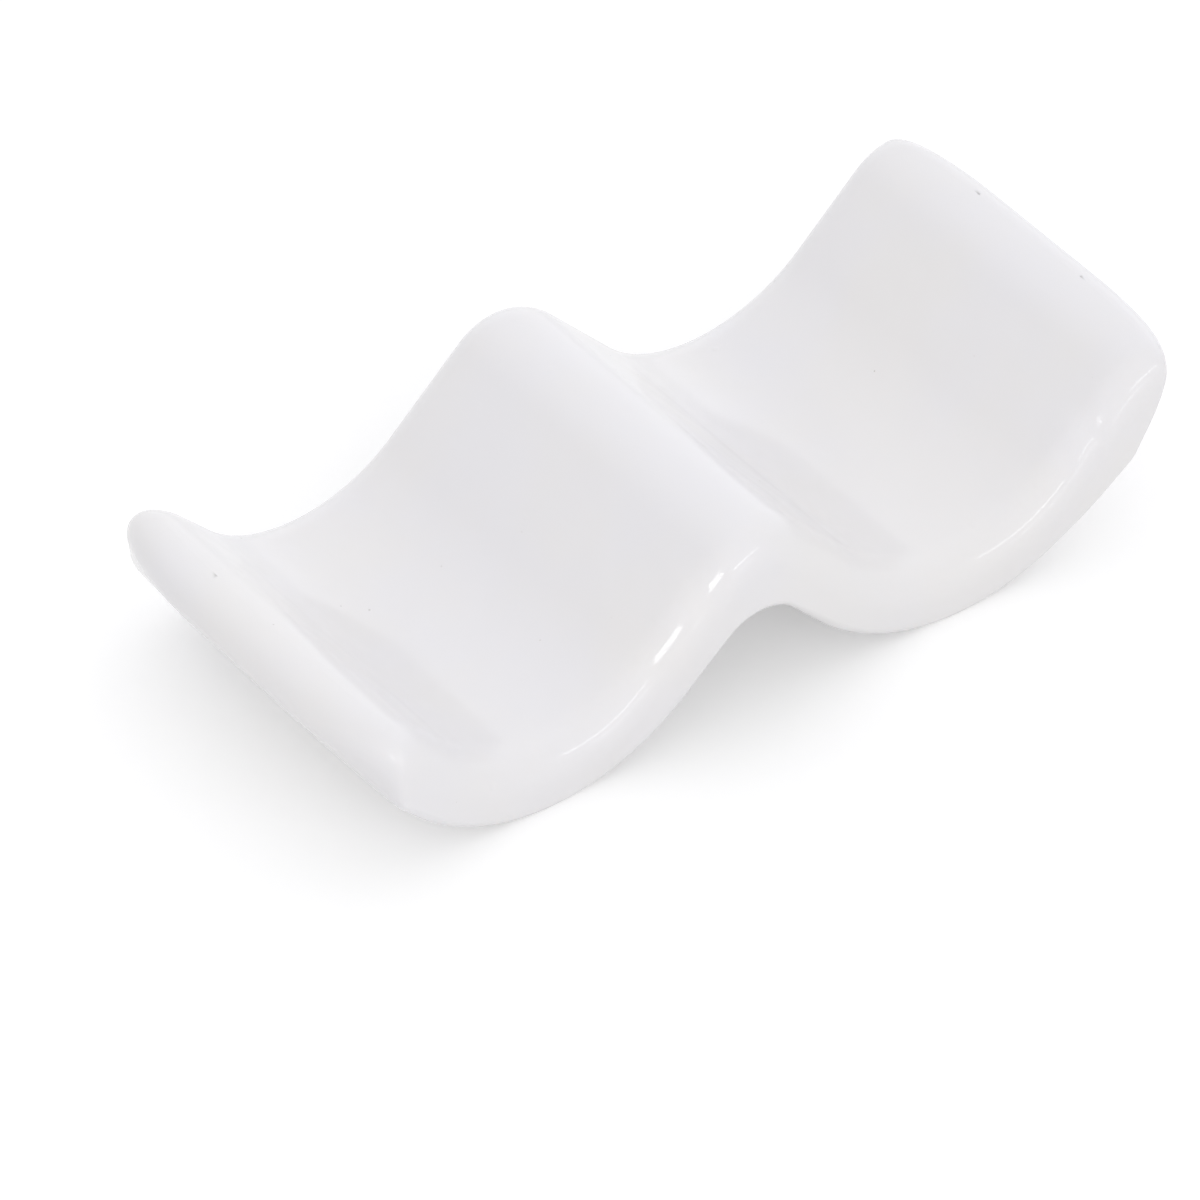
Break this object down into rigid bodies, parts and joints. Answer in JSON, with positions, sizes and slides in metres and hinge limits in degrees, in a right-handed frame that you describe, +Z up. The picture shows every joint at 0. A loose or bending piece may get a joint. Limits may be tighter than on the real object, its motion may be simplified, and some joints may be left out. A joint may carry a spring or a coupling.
{
  "type": "chopstick rest",
  "caption": "White glazed ceramic chopstick rest: one wavy sheet with two troughs, for chopsticks and a spoon, with rounded corners and rims.",
  "frame": {"origin": "middle of the length and of the width, on the plane that the two foot flats stand on", "axes": "+X along the length towards the taller end and wider trough, +Y along the troughs, +Z up"},
  "size_m": [0.094, 0.042, 0.0206],
  "materials": {
    "white_glaze": "clear gloss glaze over white porcelain, with fine pinholes; bare and matte on the two foot flats"
  },
  "bodies": {
    "root": {"rest_body": "white_glaze"}
  },
  "joints": []
}
